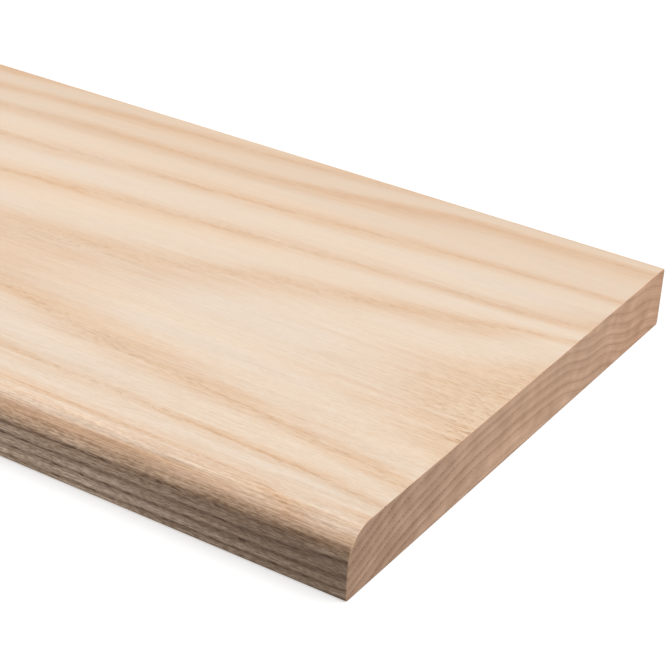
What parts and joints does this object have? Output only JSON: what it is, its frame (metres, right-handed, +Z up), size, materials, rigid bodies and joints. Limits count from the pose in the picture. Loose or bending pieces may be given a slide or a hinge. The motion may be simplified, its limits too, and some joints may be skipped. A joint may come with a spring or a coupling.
{
  "type": "window sill board",
  "caption": "Flat solid ash plank with a rounded front nose and a square back edge, bedded on a wall below a window as its inner sill.",
  "frame": {"origin": "middle of the underside, on the surface that the board lies on", "axes": "+X along the grain and the length, +Y from the rounded nose to the square back edge, +Z up through the thickness"},
  "size_m": [1, 0.195, 0.021],
  "materials": {
    "ash_wood": "planed and sanded bare ash, matt"
  },
  "bodies": {
    "root": {"sill_board": "ash_wood"}
  },
  "joints": []
}
